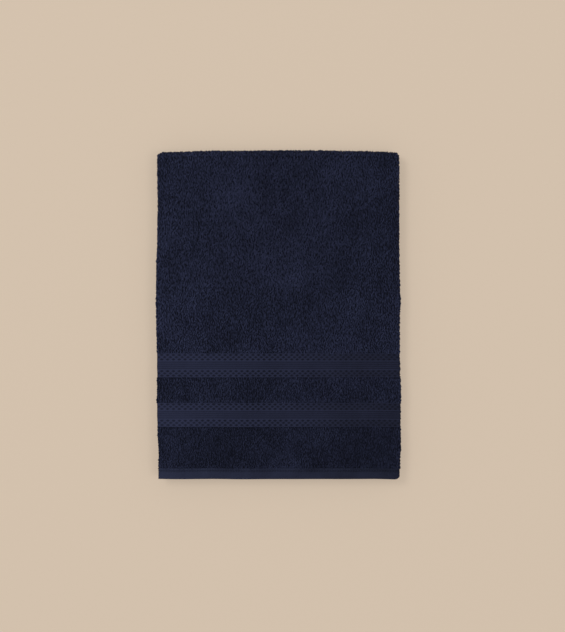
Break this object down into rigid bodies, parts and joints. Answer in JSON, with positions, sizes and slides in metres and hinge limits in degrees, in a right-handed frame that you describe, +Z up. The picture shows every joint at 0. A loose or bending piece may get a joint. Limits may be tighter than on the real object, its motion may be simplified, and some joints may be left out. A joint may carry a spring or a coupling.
{
  "type": "bath towel",
  "caption": "Folded terry bath towel with woven dobby borders and a stitched end hem, doubled along its length and folded in three, with folds that open.",
  "frame": {"origin": "middle of the underside of the folded towel, on the surface it lies on", "axes": "+X across the folded towel towards the lengthwise fold, +Y along it from the visible hem towards the back fold, +Z up"},
  "size_m": [0.344, 0.462, 0.0267],
  "materials": {
    "terry": "matte",
    "woven_border": "matte",
    "hem": "matte",
    "sewing_thread": "matte"
  },
  "bodies": {
    "bottom_third": {"end_hem_bottom": "hem", "hem_stitching_bottom": "sewing_thread", "terry_end_bottom": "terry", "outer_border_bottom": "woven_border", "terry_band_bottom": "terry", "inner_border_bottom": "woven_border", "terry_field_bottom": "terry", "side_hem_bottom_upper": "hem", "side_hem_bottom_lower": "hem"},
    "middle_third": {"terry_field_middle": "terry", "side_hem_middle_upper": "hem", "side_hem_middle_lower": "hem", "front_fold": "terry", "side_hem_front_fold_outer": "hem", "side_hem_front_fold_inner": "hem", "back_fold": "terry", "side_hem_back_fold_outer": "hem", "side_hem_back_fold_inner": "hem"},
    "top_third": {"end_hem_top": "hem", "hem_stitching_top": "sewing_thread", "terry_end_top": "terry", "outer_border_top": "woven_border", "terry_band_top": "terry", "inner_border_top": "woven_border", "terry_field_top": "terry", "side_hem_top_upper": "hem", "side_hem_top_lower": "hem"}
  },
  "joints": [
    {"name": "front_fold_opens", "type": "hinge", "parent": "bottom_third", "child": "middle_third", "pos_m": [0, -0.22115, 0.00885], "axis": [1, 0, 0], "range_deg": [0, 80], "deforming": ["front_fold", "side_hem_front_fold_outer", "side_hem_front_fold_inner"]},
    {"name": "back_fold_opens", "type": "hinge", "parent": "middle_third", "child": "top_third", "pos_m": [0, 0.22215, 0.01785], "axis": [-1, 0, 0], "range_deg": [0, 175], "deforming": ["back_fold", "side_hem_back_fold_outer", "side_hem_back_fold_inner"]}
  ]
}
